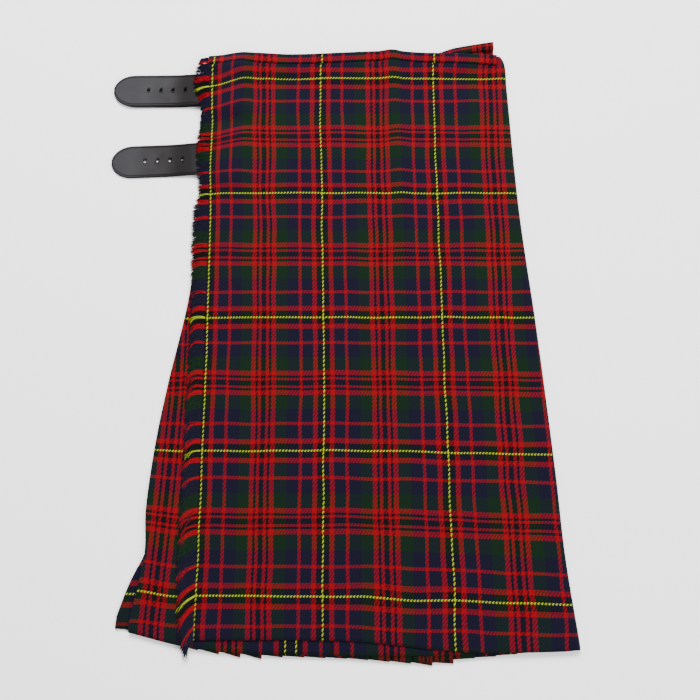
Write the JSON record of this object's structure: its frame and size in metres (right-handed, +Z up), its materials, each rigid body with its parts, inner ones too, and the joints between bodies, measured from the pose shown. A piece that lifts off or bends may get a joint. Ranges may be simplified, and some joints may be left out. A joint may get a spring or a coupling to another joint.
{
  "type": "kilt",
  "caption": "Tartan kilt laid flat on its pleated back, with a fringed over apron on top and leather straps reaching out at the waist.",
  "frame": {"origin": "middle of the laid kilt's bounding box, on the surface that it lies on", "axes": "+Z up off the surface, +Y along the kilt from its hem to its waist, +X across it to the folded side"},
  "size_m": [0.46, 0.6386, 0.0163],
  "materials": {
    "tartan": "woven wool twill in red, navy, green and yellow checks",
    "back_tartan": "the same woven wool twill, on the layers below",
    "band_tartan": "the same woven wool twill, folded over the waist edges",
    "strap_leather": "dark satin leather with creased edges"
  },
  "bodies": {
    "root": {"over_apron": "tartan", "apron_fringe": "tartan", "under_apron": "back_tartan", "pleated_back": "back_tartan", "waistband_front": "band_tartan", "waistband_back": "band_tartan", "strap_upper": "strap_leather", "strap_upper_backing": "strap_leather", "strap_lower": "strap_leather"}
  },
  "joints": []
}
